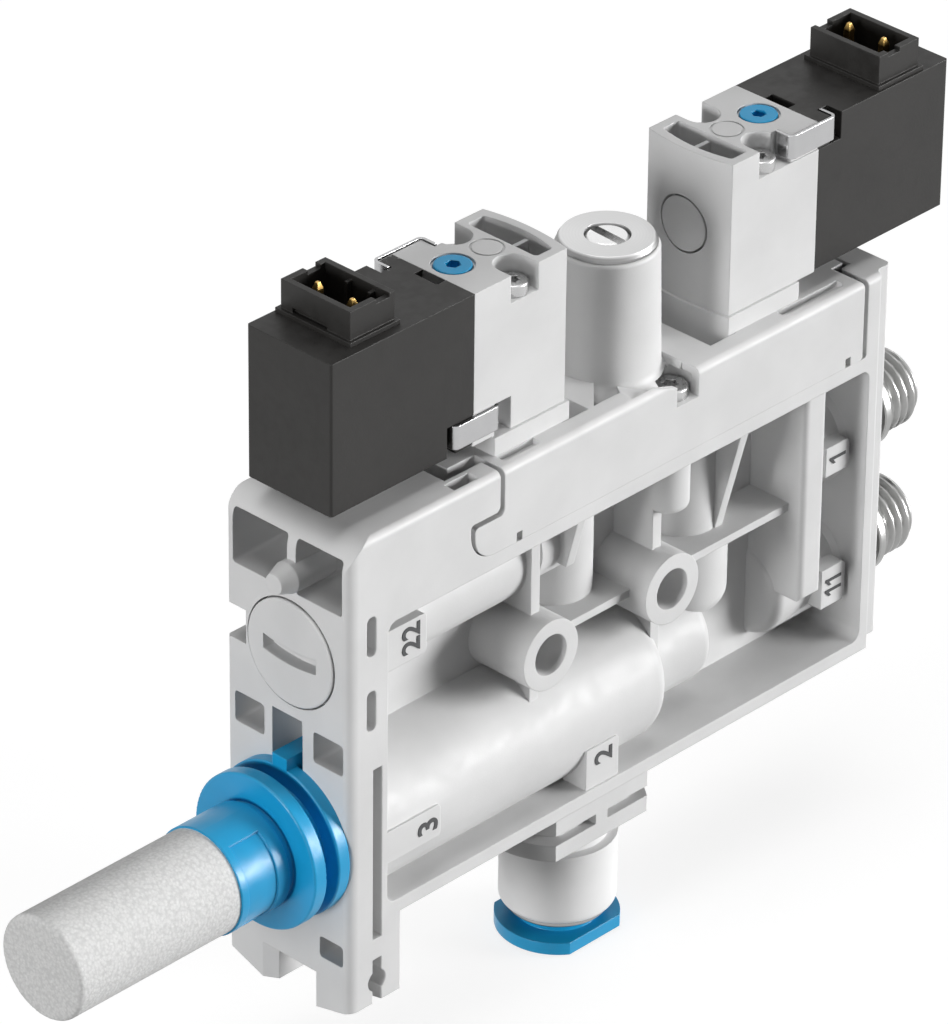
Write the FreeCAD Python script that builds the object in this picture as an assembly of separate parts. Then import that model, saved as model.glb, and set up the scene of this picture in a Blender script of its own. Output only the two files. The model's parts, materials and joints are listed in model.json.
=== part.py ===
import FreeCAD, Part
import math
import os

from FreeCAD import Vector

# Vacuum ejector with two pilot valves, millimetres.
# Origin: midway between the two mounting holes, on the middle plane of the housing.
# +X runs along the length towards the threaded supply nipples, +Z is up,
# -Y is the open ribbed face of the housing.

# Housing
housing_width = 15.0
housing_end_x = -32.75          # face that carries the silencer
housing_right_x = 35.0          # right edge of the front face
flange_x = 37.0                 # set-back end flange behind the nipples
flange_front_inset = 0.85
flange_bottom_z = -17.4
housing_top_z = 21.4
beam_bottom_z = -18.0
leg_right_x = -26.6             # feet under the silencer end
leg_bottom_z = -27.15
leg_flat_y = (-3.3, 3.35)       # the feet are level between these
leg_edge_z = (-26.2, -25.65)    # outer edges of the front and the back foot
rail_gap_y = (-3.3, 2.04)
rail_gap_top_z = -23.5
rail_relief_y = -0.1
rail_relief_top_z = -22.0
rail_chamfer = 0.75
top_edge_radius = 0.65
end_edge_radius = 1.0
back_edge_radius = 0.4
end_top_radius = 3.0
web_thickness = 1.5

# Openings in the silencer end
end_pocket_y = (0.15, -0.9)     # inner walls of the back and the front pocket
end_pocket_wall = (0.75, 1.05)
end_pocket_z = (14.25, 19.7)
end_pocket_depth = 9.0
small_pocket_y = 3.0
small_pocket_wall = 0.9
small_pocket_z = (-1.8, 1.3)
small_pocket_depth = 3.4
foot_pocket_y = -3.75
foot_pocket_z = (-21.6, -19.45)
foot_pocket_depth = 3.0
end_pocket_radius = 0.35
back_notch_z = (6.55, 9.95)
back_notch_depth = (3.6, 2.3)   # along X and along Y
key_slot_y = (-1.68, 2.03)
key_slot_top_z = 1.65
key_slot_depth = 3.6

# Slots in the front face of the end block
small_slot_x = (-30.8, -29.64)
small_slot_z = ((9.7, 13.65), (2.2, 6.2))
small_slot_radius = 0.5
small_slot_depth = 2.6
long_slot_x = (-30.0, -28.87)
long_slot_z = (-19.55, -1.9)
long_slot_depth = 2.2
foot_slot_top_z = -21.65
foot_slot_depth = 3.2
foot_bulb_x = -29.45
foot_bulb_z = -24.0
foot_bulb_radius = 1.1

# Pockets in the top, beside the tongues of the valve plate
nose_pocket_x = -19.0
nose_pocket_half_width = 5.1
nose_pocket_depth = 3.2
top_pocket_x = (-19.5, -16.5)
top_pocket_y = (5.55, 6.8)
top_pocket_depth = 2.0
end_gap_x = 34.3
end_gap_half_width = 4.2
end_gap_bottom_z = 15.0

# Recess in the two broad faces
window_left_x = -28.2
window_right_x = 33.7
window_bottom_z = -16.65
window_top_z = 12.05
window_corner_radius = 1.0

# Mounting tubes
mount_spacing = 15.65
mount_hole_radius = 2.0
mount_tube_radius = 3.45

# Ribs in the recess
rib_thickness = 1.1
rib_front_inset = 2.0           # ribs end this far behind the front face
shelf_z = 0.2
shelf_thickness = 0.8
gusset_thickness = 1.0
gusset_top_inset = 0.5
gusset_slope = 0.265
gusset_x = (-3.1, 18.05)
gusset_bottom_z = (6.2, 0.6)

# Channels moulded in the recess
ejector_z = -10.5               # axis of the ejector barrel, silencer and lower supply port
barrel_radius = 7.4
barrel_end_x = 8.2
barrel_tail_radius = 5.2
barrel_tail_x = 16.3
service_z = 8.05                # axis of the upper tube behind the slotted end cap
service_y = -0.3
service_radius = 4.65
service_end_x = -5.9
service_tip_radius = 4.2
service_tip_x = -0.4
seat_x = (0.15, 16.8)           # upright valve chambers
seat_radius = 3.65
chamber_tail_radius = 4.5
chamber_tail_z = -8.2
column_x = (25.5, 28.4)         # upright supply channel
column_front_inset = 0.25
column_bottom_z = -9.3
column_radius = 0.6
column_chamfer = 1.4
port_upper_z = 2.85
port_lower_z = -10.6
port_boss_radius = 4.8
port_boss_left_x = 25.3
port_boss_flare = 0.5

# Plates that carry the port numbers
label_radius = 0.45
label_places = (((-28.4, -21.95), (5.9, 9.95), 1.5),
                ((-28.4, -21.6), (-12.45, -9.15), 0.0),
                ((-2.75, 1.45), (-17.0, -12.5), 0.2),
                ((29.9, 33.05), (1.6, 4.6), 1.5),
                ((29.9, 33.1), (-12.45, -8.4), 1.5))    # x, z, distance behind the front face
label_depth = 2.8

# Valve plate with the flow-control tower
plate_gap = 0.55
plate_left_x = -13.95
plate_toe_x = -17.57
plate_right_x = 32.6
plate_bottom_z = 13.5
plate_toe_top_z = 16.95
plate_toe_radius = 2.4
pad_top_z = 23.19
pad_margin = 0.3
pad_left_x = -13.0
land_z = 19.95
valley_z = 19.3
rim_width = 2.12
land_ramp_x = (2.7, 7.35, 10.3, 10.64)  # the land falls, runs level and rises between these
valley_right_x = -1.3
tower_pocket = ((2.33, -2.60), (3.80, -3.98), (2.72, -5.37), (-0.59, -5.35))
tower_pocket_depth = 2.2
ridge_ramp_x = 5.4              # the front edge drops from here to the screw notch
ridge_notch_z = 20.6
trough_depth = 0.6
trough_x = ((-12.9, -8.3), (23.0, 31.1))
trough_inset = 1.1
tongue_left_x = -17.3
tongue_left_half_width = 3.8
tongue_bottom_z = 18.6
tongue_right_x = 33.9
tongue_right_half_width = 3.6
tower_x = 6.545
tower_top_z = 33.0
tower_top_radius = 4.70
tower_foot_radius = 4.97
tower_fillet = 1.0
tower_edge_radius = 0.45
latch_slit = (0.7, 0.93, 1.6)   # width, height, depth
latch_x = (-12.05, 30.65)
plate_screw_x = 9.2
plate_screw_inset = 2.1
plate_screw_head_radius = 1.65
plate_screw_head_top_z = 19.7
plate_screw_seat_z = 18.64
plate_screw_shank_radius = 0.95
plate_screw_length = 9.0
plate_screw_clearance = 0.2
plate_boss_radius = 2.0
plate_boss_bottom_z = 7.2
notch_x = (7.84, 10.64)
plate_seal_width = 0.9
plate_seal_depth = 0.6
plate_seal_margin = 0.3         # kept from the screw holes

# Flow-control screw
bush_rim_radius = 4.48
bush_top_radius = 4.20
bush_top_z = 33.64
bush_rim_z = 33.05
bush_shank_radius = 3.3
bush_length = 7.0
screw_radius = 2.05
screw_clearance = 0.05
screw_length = 5.0
screw_slot_width = 0.95
screw_slot_depth = 1.2
screw_slot_angle = 87.0
screw_chamfer = 0.3
needle_radius = 1.2
needle_tip_radius = 0.4
needle_length = 7.5
needle_clearance = 0.08
flow_passage_radius = 1.8
needle_travel = 0.75
screw_sink = 0.1

# Pilot valves, built on the left and turned half a turn about the tower for the right one
valve_width = 10.0
valve_top_z = 38.25
coil_bottom_z = 23.43
coil_end_x = -32.6
coil_base_x = -15.35
base_end_x = -4.0
base_bulge = 0.6
valve_edge_radius = 0.25
override_x = -12.87
override_radius = 1.72
override_clearance = 0.06
override_ring_radius = 1.94
override_ring_depth = 0.3
override_length = 3.0
override_travel = 0.7
override_hex = 1.25             # across flats
override_hex_depth = 0.9
spring_outer_radius = 1.2
spring_wire = 0.28
spring_turns = 4
spring_length = 2.6
disc_x = -8.70
disc_radius = 1.55
disc_groove = 0.2
disc_groove_depth = 0.12
pocket_inner_x = -6.9
pocket_wall = 0.85
pocket_half_width = 4.1
pocket_depth = 6.0
pocket_web = 0.45
pocket_web_y = -0.55
pocket_web_drop = 0.75
pocket_radius = 0.4
valve_screw_x = -9.2
valve_screw_y = 3.5
valve_screw_seat_z = 35.57
valve_screw_head_radius = 1.42
valve_screw_head_height = 1.15
valve_screw_shank_radius = 0.8
valve_screw_length = 16.5
valve_notch_radius = 1.7
side_plug_radius = 2.62
side_plug_gap = 0.19
side_plug_y = -0.2
side_plug_z = 30.7
side_plug_depth = 2.0
clip_sheet = 0.28
clip_height = 2.3
clip_top_z = 38.35
clip_x = (-17.4, -11.35)
clip_face_y = 5.3
clip_leg = 1.9
clip_bend = 0.6
clip_gap = 0.15
lower_clip_x = (-17.9, -12.2)
lower_clip_bottom_z = 23.95
base_seal_thickness = 0.35
base_seal_half_width = 2.3
base_seal_rim = 0.8
base_seal_inset = 3.2
base_seal_gap = 0.03
armature_radius = 1.9
armature_clearance = 0.08
armature_length = 6.0
armature_travel = 0.4
armature_z = 30.4
armature_seat_depth = 0.9

# Plug sockets on the coils
coil_key_y = (-1.6, 1.2)        # key recess next to the base
coil_key_size = (1.1, 2.2)
socket_x = (-29.1, -23.8)
socket_y = (-3.75, 4.45)
socket_top_z = 41.45
socket_wall = 0.6
socket_flange = 0.35
socket_flange_height = 0.45
socket_sink = 2.6               # reaches this far into the coil
socket_notch_depth = 0.4
socket_notches = ((2.6, 4.1), (3.1, 4.7))   # in the back and the front wall, from the outer end
side_slot_y = (-1.04, 3.06)
side_slot_height = 0.93
side_slot_depth = 0.35
socket_rib_y = ((-2.05, -1.7), (0.65, 1.0))
socket_rib = 0.55
pin_width = 0.7
pin_x = -27.1
pin_y = (-2.05, 2.05)
pin_top_z = 41.3
pin_tip = 0.6
pin_tip_share = 0.45
socket_floor_z = 37.0

# End cap with a coin slot
cap_radius = 5.16
cap_proud = 0.2
cap_thickness = 1.6
cap_bore_clearance = 0.05
cap_rim_gap = 0.16
cap_spigot_radius = 3.6
cap_length = 5.5
cap_slot = (6.4, 1.5, 1.3)      # length, width, depth
cap_slot_sag = 0.35
cap_seal_offset = 1.2           # seal centre behind the cap's head
seal_wire = 0.4                 # radius of the round seals
seal_gap = 0.03

# Guide pin on the end face
guide_pin_y = -0.4
guide_pin_z = 15.9
guide_pin_radius = 1.5
guide_pin_shoulder = 0.6
guide_pin_root = 4.0
guide_pin_tip_radius = 0.95
guide_pin_x = -34.9

# Silencer
flange_radius = 7.43
flange_outer = (-36.95, -35.5)
flange_inner_x = -34.0
groove_radius = 5.7
neck_radius = 5.15
neck_end_x = -37.65
neck_root_radius = 4.75
sleeve_start_x = -43.45
sleeve_end_x = -62.3
sleeve_radius = 4.98
sleeve_wall = 1.5
spigot_radius = 5.0
spigot_length = 6.5
spigot_clearance = 0.05
spigot_bore_radius = 3.2
spigot_seal_offset = 2.2        # seal centre from the spigot's end
key_y = (-1.0, 0.8)
key_top_z = -1.95
key_depth = 2.8
panel_depth = 0.18
panel_x = (-42.65, -39.15)
panel_angles = (121, 235)       # from +Y, towards +Z

# Ejector cartridge in the barrel
cartridge_radius = 3.8
cartridge_clearance = 0.03
receiver_x = (-24.0, 0.2)
jet_x = (3.4, 12.6)
cartridge_neck_radius = 2.6
receiver_throat_radius = 0.9
receiver_throat_length = 9.0    # from the silencer end
receiver_mouth_length = 3.2
cartridge_land = 3.0            # full-size length at each end of the receiver
cartridge_ramp = 0.4
cartridge_lead = (1.2, 1.0)     # along X and in radius
receiver_mouth_radius = 2.0
jet_bore_radius = 1.6
jet_throat_radius = 0.45
jet_tip_radius = 1.2
jet_tip_length = 2.6
jet_throat_length = 1.2
jet_funnel_end = 3.2

# Vacuum port with its push-in fitting
port_x = 1.6
collar_radius = 8.0
collar_half_depth = 5.3
collar_bottom_z = -24.4
collar_groove = (-22.75, -21.7)
collar_groove_radius = 6.3
collar_groove_depth = 1.0
collar_web_width = 1.55
fitting_radius = 5.43
fitting_top_z = -25.7
fitting_bottom_z = -33.1
fitting_edge_radius = 0.7
fitting_neck_radius = 4.55
fitting_shank_radius = 3.8
fitting_shank_top_z = -20.0
fitting_shank_clearance = 0.05
tube_radius = 3.0
tube_clearance = 0.06
retainer_radius = 4.75
retainer_bottom_z = -33.7
collet_radius = 3.75
collet_clearance = 0.06
collet_top_z = -29.2
collet_room = 0.5               # wider room round the lip seal and the retainer's sleeve
seal_room_height = 3.4          # from the collet's top
tube_stop_height = 4.6
retainer_depth = 3.0
collet_slit_width = 0.7
collet_slit = (2.4, 2.2)        # below and above the collet's top edge
release_ring_radius = 5.78
release_ring_flat = 4.75
release_ring_z = (-35.95, -34.7)
release_travel = 0.9
vacuum_bore_radius = 2.4

# Threaded supply nipples
nipple_neck_radius = 3.3
nipple_collar_radius = 4.45
nipple_collar_x = (39.9, 40.8)
nipple_thread_radius = 3.9
nipple_end_x = 45.46
nipple_bore_radius = 1.7
nipple_root_length = 6.5
nipple_undercut = 0.45

half_width = housing_width/2
plate_screw_y = half_width-plate_screw_inset
half_web = web_thickness/2
half_valve = valve_width/2
far = 200.0


def box(x, y, z):
    size = (x[1]-x[0], y[1]-y[0], z[1]-z[0])
    return Part.makeBox(*size, Vector(x[0], y[0], z[0]))


def rod(axis, start, end, centre, radius, end_radius=None):
    """Cylinder or cone along X, Y or Z; centre holds the two other coordinates in X, Y, Z order."""
    direction = {"x": Vector(1, 0, 0), "y": Vector(0, 1, 0), "z": Vector(0, 0, 1)}[axis]
    place = {"x": Vector(start, centre[0], centre[1]),
             "y": Vector(centre[0], start, centre[1]),
             "z": Vector(centre[0], centre[1], start)}[axis]
    if end_radius is None:
        return Part.makeCylinder(radius, end-start, place, direction)
    return Part.makeCone(radius, end_radius, end-start, place, direction)


def fuse(*shapes):
    result = shapes[0]
    if len(shapes) > 1:
        result = result.multiFuse(list(shapes[1:]))
    return result.removeSplitter()


def cut(shape, *tools):
    result = shape
    for tool in tools:
        result = result.cut(tool)
    return result.removeSplitter()


def outline(corners, place):
    """Closed wire through corners (u, v) or (u, v, radius); a radius rounds its corner."""
    points = []
    count = len(corners)
    for i, corner in enumerate(corners):
        here = Vector(corner[0], corner[1], 0)
        before = Vector(corners[i-1][0], corners[i-1][1], 0)-here
        after = Vector(corners[(i+1) % count][0], corners[(i+1) % count][1], 0)-here
        radius = corner[2] if len(corner) > 2 else 0
        if radius <= 0:
            points.append((here, here, here))
            continue
        before.normalize()
        after.normalize()
        half = before.getAngle(after)/2
        reach = radius/math.tan(half)
        middle = before+after
        middle.normalize()
        crown = here+middle*(radius/math.sin(half)-radius)
        points.append((here+before*reach, crown, here+after*reach))
    edges = []
    for i, (start, crown, end) in enumerate(points):
        if (end-start).Length > 1e-7:
            edges.append(Part.Arc(place(start), place(crown), place(end)).toShape())
        following = points[(i+1) % count][0]
        if (following-end).Length > 1e-7:
            edges.append(Part.makeLine(place(end), place(following)))
    return Part.Wire(edges)


def prism(corners, axis, start, end):
    """Profile pushed along an axis; corners are (x, z) along Y, (y, z) along X, (x, y) along Z."""
    place = {"x": lambda p: Vector(start, p.x, p.y),
             "y": lambda p: Vector(p.x, start, p.y),
             "z": lambda p: Vector(p.x, p.y, start)}[axis]
    push = {"x": Vector(end-start, 0, 0), "y": Vector(0, end-start, 0), "z": Vector(0, 0, end-start)}
    return Part.Face(outline(corners, place)).extrude(push[axis])


def turned(corners, axis, centre):
    """Solid of revolution; corners are (distance along the axis, radius)."""
    if axis == "x":
        base = Vector(0, centre[0], centre[1])
        place = lambda p: base+Vector(p.x, 0, p.y)
        direction = Vector(1, 0, 0)
    else:
        base = Vector(centre[0], centre[1], 0)
        place = lambda p: base+Vector(p.y, 0, p.x)
        direction = Vector(0, 0, 1)
    return Part.Face(outline(corners, place)).revolve(base, direction, 360)


def seal_ring(x, centre, bore_radius):
    """Round seal ring round an X axis, just clear of its bore."""
    radius = bore_radius-seal_gap-seal_wire
    return Part.makeTorus(radius, seal_wire, Vector(x, *centre), Vector(1, 0, 0))


def seal_groove(x, centre, bore_radius):
    """Room that a round seal ring needs in its spigot."""
    half = seal_wire+seal_gap
    floor = bore_radius-2*seal_gap-2*seal_wire
    return cut(rod("x", x-half, x+half, centre, far), rod("x", x-half, x+half, centre, floor))


def upright_edges(shape):
    """Edges of a shape that stand parallel to Z."""
    return [edge for edge in shape.Edges if len(edge.Vertexes) == 2
            and (edge.Vertexes[0].Point-edge.Vertexes[1].Point).cross(Vector(0, 0, 1)).Length < 1e-6]


def rounded_pocket(y, z, depth):
    """Pocket with rounded corners, sunk in the silencer end."""
    radius = end_pocket_radius
    corners = [(y[0], z[0], radius), (y[1], z[0], radius), (y[1], z[1], radius), (y[0], z[1], radius)]
    return prism(corners, "x", housing_end_x, housing_end_x+depth)


def both_faces(shape):
    """The shape and its mirror image behind the middle plane."""
    return [shape, shape.mirror(Vector(0, 0, 0), Vector(0, 1, 0))]


def opposite(shape):
    """The same piece half a turn round the tower, for the right valve."""
    turned_shape = shape.copy()
    turned_shape.rotate(Vector(tower_x, 0, 0), Vector(0, 0, 1), 180)
    return turned_shape


mount_x = (-mount_spacing/2, mount_spacing/2)
rib_face = half_width-rib_front_inset
seat_z = plate_bottom_z


def housing_profile():
    """Side outline of the housing with the recess for the valve plate."""
    nose_x = plate_left_x-plate_gap
    pocket_x = plate_toe_x-plate_gap
    nose_z = plate_toe_top_z+plate_gap
    right_x = plate_right_x+plate_gap
    return [(housing_end_x, housing_top_z, end_top_radius),
            (nose_x, housing_top_z),
            (nose_x, nose_z, 0.6),
            (pocket_x, nose_z, 0.4),
            (pocket_x, plate_bottom_z, plate_toe_radius+plate_gap),
            (right_x, plate_bottom_z, 0.3),
            (right_x, housing_top_z),
            (flange_x, housing_top_z),
            (flange_x, flange_bottom_z),
            (housing_right_x, flange_bottom_z),
            (housing_right_x, beam_bottom_z),
            (leg_right_x, beam_bottom_z),
            (leg_right_x, leg_bottom_z),
            (housing_end_x, leg_bottom_z)]


def housing_plan():
    """Plan outline: rounded corners at the silencer end, set-back flange at the other."""
    flange_y = half_width-flange_front_inset
    return [(housing_end_x, -half_width, end_edge_radius),
            (housing_right_x, -half_width, 0.3),
            (housing_right_x, -flange_y, 0.6),
            (flange_x, -flange_y, 0.5),
            (flange_x, flange_y, 0.5),
            (housing_right_x, flange_y, 0.6),
            (housing_right_x, half_width, 0.3),
            (housing_end_x, half_width, back_edge_radius)]


def bar_section():
    """Cross section of the housing and plate: rounded long top edges, feet below."""
    return [(-half_width, leg_edge_z[0]),
            (leg_flat_y[0], leg_bottom_z),
            (leg_flat_y[1], leg_bottom_z),
            (half_width, leg_edge_z[1]),
            (half_width, housing_top_z, top_edge_radius),
            (-half_width, housing_top_z, top_edge_radius)]


def end_openings():
    """Pockets, slots and the rail gap in the silencer end of the housing."""
    x = housing_end_x
    back = half_width-end_pocket_wall[0]
    front = -half_width+end_pocket_wall[1]
    side = half_width-small_pocket_wall
    rail_wall_y = rail_gap_y[1]
    return [rounded_pocket((end_pocket_y[0], back), end_pocket_z, end_pocket_depth),
            rounded_pocket((front, end_pocket_y[1]), end_pocket_z, end_pocket_depth),
            rounded_pocket((small_pocket_y, side), small_pocket_z, small_pocket_depth),
            rounded_pocket((-side, -small_pocket_y), small_pocket_z, small_pocket_depth),
            rounded_pocket((-side, foot_pocket_y), foot_pocket_z, foot_pocket_depth),
            box((x, x+back_notch_depth[0]), (half_width-back_notch_depth[1], half_width), back_notch_z),
            box((x, x+key_slot_depth), key_slot_y, (ejector_z, key_slot_top_z)),
            box((x, leg_right_x+1), rail_gap_y, (-far, rail_gap_top_z)),
            box((x+rail_chamfer, leg_right_x+1), (rail_relief_y, rail_wall_y),
                (rail_gap_top_z-1, rail_relief_top_z)),
            prism([(x-1, rail_wall_y-1), (x-1, leg_flat_y[1]+rail_chamfer), (x, leg_flat_y[1]),
                   (x+rail_chamfer, rail_wall_y), (x+rail_chamfer, rail_wall_y-1)],
                  "z", -far, rail_gap_top_z)]


def top_openings():
    """Pockets in the top beside the tongues of the valve plate."""
    nose_x = plate_left_x-plate_gap
    nose = box((nose_pocket_x, nose_x+1), (-nose_pocket_half_width, nose_pocket_half_width),
               (housing_top_z-nose_pocket_depth, far))
    small = box(top_pocket_x, top_pocket_y, (housing_top_z-top_pocket_depth, far))
    end = box((plate_right_x, end_gap_x), (-end_gap_half_width, end_gap_half_width), (end_gap_bottom_z, far))
    return [nose, end]+both_faces(small)


def front_slots():
    """Slots in the front face of the end block."""
    tools = []
    face = -half_width
    left, right = small_slot_x
    radius = small_slot_radius
    for low, high in small_slot_z:
        tools.append(prism([(left, low, radius), (right, low, radius), (right, high, radius),
                            (left, high, radius)], "y", face, face+small_slot_depth))
    tools.append(box(long_slot_x, (face, face+long_slot_depth), long_slot_z))
    tools.append(box(long_slot_x, (face, face+foot_slot_depth), (-far, foot_slot_top_z)))
    tools.append(rod("y", face, face+foot_slot_depth, (foot_bulb_x, foot_bulb_z), foot_bulb_radius))
    return tools


def labels():
    """Small raised plates for the port numbers."""
    plates = []
    for x, z, inset in label_places:
        corners = [(x[0], z[0]), (x[1], z[0], label_radius), (x[1], z[1], label_radius), (x[0], z[1])]
        plates.append(prism(corners, "y", inset-half_width, inset-half_width+label_depth))
    return plates


def barrel():
    """Stepped barrel of the ejector with rounded ends."""
    corners = [(window_left_x-1, 0), (window_left_x-1, barrel_radius),
               (barrel_end_x, barrel_radius, 1.5), (barrel_end_x, barrel_tail_radius),
               (barrel_tail_x, barrel_tail_radius, 1.2), (barrel_tail_x, 0)]
    return turned(corners, "x", (0, ejector_z))


def service_tube():
    corners = [(window_left_x-1, 0), (window_left_x-1, service_radius),
               (service_end_x, service_radius, 1.5), (service_end_x, service_tip_radius),
               (service_tip_x, service_tip_radius, 1.8), (service_tip_x, 0)]
    return turned(corners, "x", (service_y, service_z))


def chambers():
    """Upright valve chambers that stand on the shelf."""
    left = rod("z", shelf_z, window_top_z+1, (seat_x[0], 0), seat_radius)
    right = rod("z", shelf_z, window_top_z+1, (seat_x[1], 0), seat_radius)
    tail = turned([(chamber_tail_z, 0), (chamber_tail_z, chamber_tail_radius, 2.0),
                   (shelf_z, chamber_tail_radius), (shelf_z, 0)], "z", (seat_x[1], 0))
    return [left, right, tail]


def column():
    """Upright channel between the supply ports."""
    face = half_width-column_front_inset
    corners = [(column_x[0], -face, column_radius), (column_x[1], -face, column_radius),
               (column_x[1], face, column_radius), (column_x[0], face, column_radius)]
    block = prism(corners, "z", column_bottom_z, window_top_z+1)
    trim = prism([(-face-1, column_bottom_z-1), (-face+column_chamfer, column_bottom_z-1),
                  (-face-1, column_bottom_z+column_chamfer)], "x", column_x[0]-1, column_x[1]+1)
    return cut(block, *both_faces(trim))


def port_boss(left_x, edge_radius, z):
    """Boss behind a supply nipple, flared where it meets the end wall."""
    wide = port_boss_radius+port_boss_flare
    corners = [(left_x, 0), (left_x, port_boss_radius, edge_radius),
               (window_right_x-port_boss_flare, port_boss_radius), (window_right_x, wide),
               (window_right_x+1, wide), (window_right_x+1, 0)]
    return turned(corners, "x", (0, z))


def ports():
    return [port_boss(column_x[0]+1, 0, port_upper_z), port_boss(port_boss_left_x, 1.0, port_lower_z)]


def mount_tube(x):
    return rod("y", -half_width, half_width, (x, 0), mount_tube_radius)


def ribs():
    """Thin ribs that tie the tubes, shelf and chambers together."""
    pieces = []
    for x in mount_x:
        pieces.append(box((x-rib_thickness/2, x+rib_thickness/2), (-rib_face, rib_face),
                          (ejector_z, window_top_z+1)))
    shelf = (shelf_z-shelf_thickness/2, shelf_z+shelf_thickness/2)
    pieces.append(box((mount_x[0], column_x[0]+0.5), (-rib_face, rib_face), shelf))
    face = half_width-gusset_top_inset
    for x, low in zip(gusset_x, gusset_bottom_z):
        drop = (window_top_z+1-low)*gusset_slope
        corners = [(-face, window_top_z+1), (-face+drop, low), (face-drop, low), (face, window_top_z+1)]
        pieces.append(prism(corners, "x", x-gusset_thickness/2, x+gusset_thickness/2))
    return pieces


def plate_bosses():
    """Round bosses under the plate screws."""
    pieces = []
    for y in (-plate_screw_y, plate_screw_y):
        corners = [(plate_boss_bottom_z, 0), (plate_boss_bottom_z, plate_boss_radius, 0.8),
                   (window_top_z+1, plate_boss_radius), (window_top_z+1, 0)]
        pieces.append(turned(corners, "z", (plate_screw_x, y)))
    return pieces


def window():
    corners = [(window_left_x, window_bottom_z, window_corner_radius),
               (window_right_x, window_bottom_z, window_corner_radius),
               (window_right_x, window_top_z, window_corner_radius),
               (window_left_x, window_top_z, window_corner_radius)]
    return prism(corners, "y", -half_width, -half_web)


def collar():
    """Grooved collar under the beam that holds the vacuum fitting."""
    disc = rod("z", collar_bottom_z, beam_bottom_z+1, (port_x, 0), collar_radius)
    block = box((port_x-far, port_x+far), (-collar_half_depth, collar_half_depth),
                (collar_bottom_z, beam_bottom_z+1))
    body = disc.common(block)
    groove = rod("z", collar_groove[0], collar_groove[1], (port_x, 0), far)
    groove = cut(groove, rod("z", collar_groove[0], collar_groove[1], (port_x, 0), collar_groove_radius))
    web = box((port_x-collar_web_width/2, port_x+collar_web_width/2), (-far, far), collar_groove)
    flat = collar_half_depth-collar_groove_depth
    groove = groove.fuse(cut(box((port_x-far, port_x+far), (-far, far), collar_groove),
                             box((port_x-far, port_x+far), (-flat, flat), collar_groove)))
    return cut(body, cut(groove, web))


def spigot_bore():
    """Bore of the silencer spigot and of the ejector cartridge behind it."""
    spigot_end = housing_end_x+spigot_length
    wide = rod("x", housing_end_x-1, spigot_end+0.3, (0, ejector_z), spigot_radius+spigot_clearance)
    narrow = rod("x", spigot_end, jet_x[1], (0, ejector_z), cartridge_radius+cartridge_clearance)
    return [wide, narrow]


def vacuum_passage():
    shank = rod("z", collar_bottom_z-1, fitting_shank_top_z, (port_x, 0),
                fitting_shank_radius+fitting_shank_clearance)
    return [shank, rod("z", collar_bottom_z, ejector_z, (port_x, 0), vacuum_bore_radius)]


def housing():
    left = -far
    body = prism(housing_profile(), "y", -half_width, half_width)
    body = body.common(prism(housing_plan(), "z", left, far))
    body = body.common(prism(bar_section(), "x", left, far))
    body = cut(body, *both_faces(window()))
    inner = [barrel(), service_tube(), column()]+chambers()+ports()+ribs()+plate_bosses()
    inner += [mount_tube(x) for x in mount_x]
    room = box((window_left_x-0.5, window_right_x+0.5), (-half_width, half_width),
               (window_bottom_z-0.5, window_top_z+0.5))
    body = fuse(body, *[piece.common(room) for piece in inner])
    body = fuse(body, collar(), *[plate.common(room) for plate in labels()])
    body = cut(body, *end_openings(), *top_openings(), *front_slots())
    body = cut(body, *spigot_bore(), *vacuum_passage())
    for x in mount_x:
        body = cut(body, rod("y", -half_width-1, half_width+1, (x, 0), mount_hole_radius))
    cap_bore = rod("x", housing_end_x-1, housing_end_x+cap_thickness-cap_proud, (service_y, service_z),
                   cap_radius+cap_rim_gap)
    spigot = rod("x", housing_end_x, housing_end_x+cap_length, (service_y, service_z),
                 cap_spigot_radius+cap_bore_clearance)
    body = cut(body, cap_bore, spigot)
    for z in (port_upper_z, port_lower_z):
        body = cut(body, rod("x", flange_x-nipple_root_length, flange_x+1, (0, z), nipple_thread_radius))
    for y in (-plate_screw_y, plate_screw_y):
        body = cut(body, rod("z", plate_screw_seat_z-plate_screw_length, plate_bottom_z+1,
                             (plate_screw_x, y), plate_screw_shank_radius))
    pin_end_x = housing_end_x+guide_pin_root
    pin = turned([(guide_pin_x, 0), (guide_pin_x, guide_pin_tip_radius),
                  (housing_end_x-guide_pin_shoulder, guide_pin_radius),
                  (pin_end_x, guide_pin_radius), (pin_end_x, 0)], "x", (guide_pin_y, guide_pin_z))
    return fuse(body, pin)


def plate_profile():
    """Side outline of the valve plate, with its toe under the nose of the housing."""
    return [(plate_left_x, housing_top_z),
            (plate_left_x, plate_toe_top_z, 0.6),
            (plate_toe_x, plate_toe_top_z, 0.4),
            (plate_toe_x, plate_bottom_z, plate_toe_radius),
            (plate_right_x, plate_bottom_z, 0.3),
            (plate_right_x, housing_top_z, 0.3)]


def base_plan(margin, left_x):
    """Plan of a valve base: straight sides and a gently bulging end."""
    side = half_valve+margin
    end = base_end_x+margin
    start = Vector(left_x, -side, 0)
    low = Vector(end, -side, 0)
    crown = Vector(end+base_bulge, 0, 0)
    high = Vector(end, side, 0)
    back = Vector(left_x, side, 0)
    return Part.Wire([Part.makeLine(start, low), Part.Arc(low, crown, high).toShape(),
                      Part.makeLine(high, back), Part.makeLine(back, start)])


def base_prism(margin, left_x, low_z, high_z):
    wire = base_plan(margin, left_x)
    wire.translate(Vector(0, 0, low_z))
    return Part.Face(wire).extrude(Vector(0, 0, high_z-low_z))


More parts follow.
